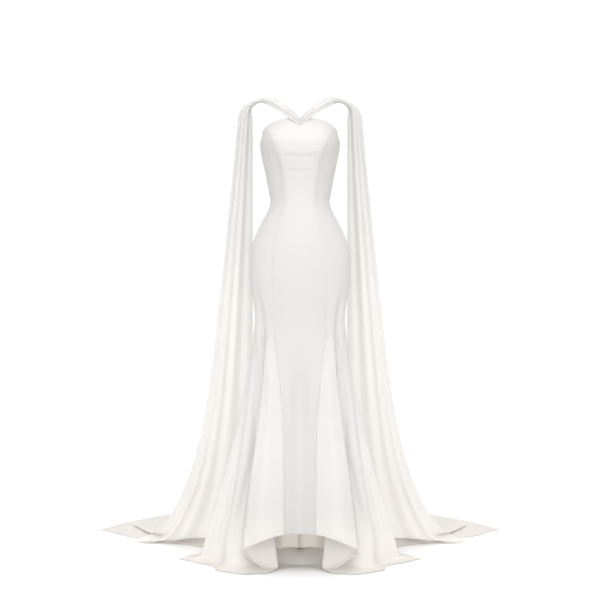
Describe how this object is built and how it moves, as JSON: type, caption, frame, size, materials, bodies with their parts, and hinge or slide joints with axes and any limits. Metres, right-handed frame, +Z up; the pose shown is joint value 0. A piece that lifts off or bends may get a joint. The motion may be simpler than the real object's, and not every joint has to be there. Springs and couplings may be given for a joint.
{
  "type": "high-low gown",
  "caption": "Strapless mermaid gown with a high front hem, a swept train, crossed neck bands and long wings of gathered chiffon, filled out as worn",
  "frame": {"origin": "middle of the waist, where the wearer holds the gown up", "axes": "+Z up, -Y the wearer's front, +X the wearer's left"},
  "size_m": [1.499, 1.4718, 1.5536],
  "materials": {
    "crepe": "matt heavy crepe with a soft low sheen, off-white",
    "chiffon": "fine sheer chiffon in small lengthwise folds, warm off-white",
    "zip": "gloss enamel, off-white"
  },
  "bodies": {
    "gown": {"front_center": "crepe", "side_front_left": "crepe", "side_front_right": "crepe", "side_back_left": "crepe", "side_back_right": "crepe", "back_left": "crepe", "back_right": "crepe", "neck_band_left": "chiffon", "neck_band_right": "chiffon", "wing_left": "chiffon", "wing_right": "chiffon", "zip_slider": "zip"},
    "zip_pull": {"zip_pull": "zip"}
  },
  "joints": [
    {"name": "zip_pull_tilt", "type": "hinge", "parent": "gown", "child": "zip_pull", "pos_m": [0, 0.10172, 0.1174], "axis": [1, 0, 0], "range_deg": [0, 160]}
  ]
}
